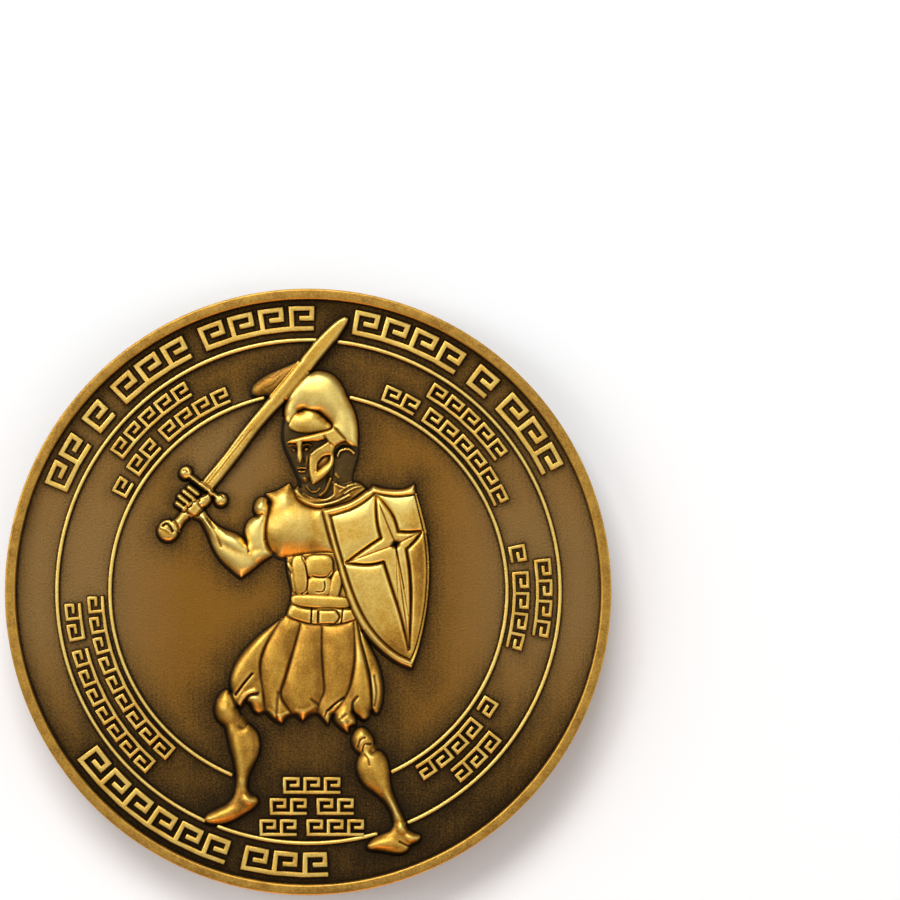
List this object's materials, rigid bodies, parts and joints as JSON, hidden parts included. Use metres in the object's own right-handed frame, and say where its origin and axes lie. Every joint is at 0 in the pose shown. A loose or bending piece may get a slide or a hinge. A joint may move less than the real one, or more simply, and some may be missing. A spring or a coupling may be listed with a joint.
{
  "type": "challenge coin",
  "caption": "Round struck challenge coin in antiqued brass, a standing warrior with sword and shield in relief on the obverse and rows of key ornament on the reverse.",
  "frame": {"origin": "centre of the reverse rim's resting face, so the coin lies flat with its obverse up", "axes": "+Z out of the obverse, +Y towards the top of both designs, +X to the right of the obverse"},
  "size_m": [0.0445, 0.0444, 0.0038],
  "materials": {
    "struck_field": "antiqued, finely brushed, dark patina in the recesses",
    "polished_rim": "worn bright on the flat, brown at its inner foot",
    "relief_line": "tops buffed bright, flanks antiqued dark",
    "relief_ornament": "tops buffed bright, flanks antiqued dark",
    "relief_armour": "buffed bright with dark patina in the creases",
    "relief_figure": "softly buffed with dark patina in the creases",
    "relief_cloth": "softly buffed with dark patina between the folds"
  },
  "bodies": {
    "root": {"planchet": "struck_field", "obverse_rim": "polished_rim", "reverse_rim": "polished_rim", "outer_ring_left": "relief_line", "outer_ring_right": "relief_line", "outer_ring_bottom": "relief_line", "inner_ring_left": "relief_line", "inner_ring_right": "relief_line", "reverse_ring": "relief_line", "key_outer_left": "relief_ornament", "key_outer_right": "relief_ornament", "key_outer_bottom": "relief_ornament", "key_sword": "relief_ornament", "key_helmet": "relief_ornament", "key_shield": "relief_ornament", "key_belt": "relief_ornament", "key_breastplate": "relief_ornament", "key_feet": "relief_ornament", "reverse_keys_upper": "relief_ornament", "reverse_keys_middle": "relief_ornament", "reverse_keys_lower": "relief_ornament", "reverse_key_arc": "relief_ornament", "crest": "relief_armour", "helmet_bowl": "relief_armour", "helmet_brow": "relief_armour", "helmet_visor": "relief_armour", "cheek_guard": "relief_armour", "neck_guard": "relief_armour", "sword_blade": "relief_armour", "sword_guard": "relief_armour", "sword_grip": "relief_armour", "sword_pommel": "relief_armour", "shield_plate": "relief_armour", "shield_border": "relief_armour", "shield_star": "relief_armour", "belt": "relief_armour", "buckle": "relief_armour", "face": "relief_figure", "chest": "relief_figure", "upper_arm": "relief_figure", "elbow": "relief_figure", "forearm": "relief_figure", "palm": "relief_figure", "fingers": "relief_figure", "abdomen": "relief_figure", "left_knee": "relief_figure", "left_calf": "relief_figure", "left_foot": "relief_figure", "right_knee": "relief_figure", "right_calf": "relief_figure", "right_foot": "relief_figure", "collar": "relief_cloth", "skirt_fold_1": "relief_cloth", "skirt_fold_2": "relief_cloth", "skirt_fold_3": "relief_cloth", "skirt_fold_4": "relief_cloth", "skirt_fold_5": "relief_cloth", "skirt_fold_6": "relief_cloth"}
  },
  "joints": []
}
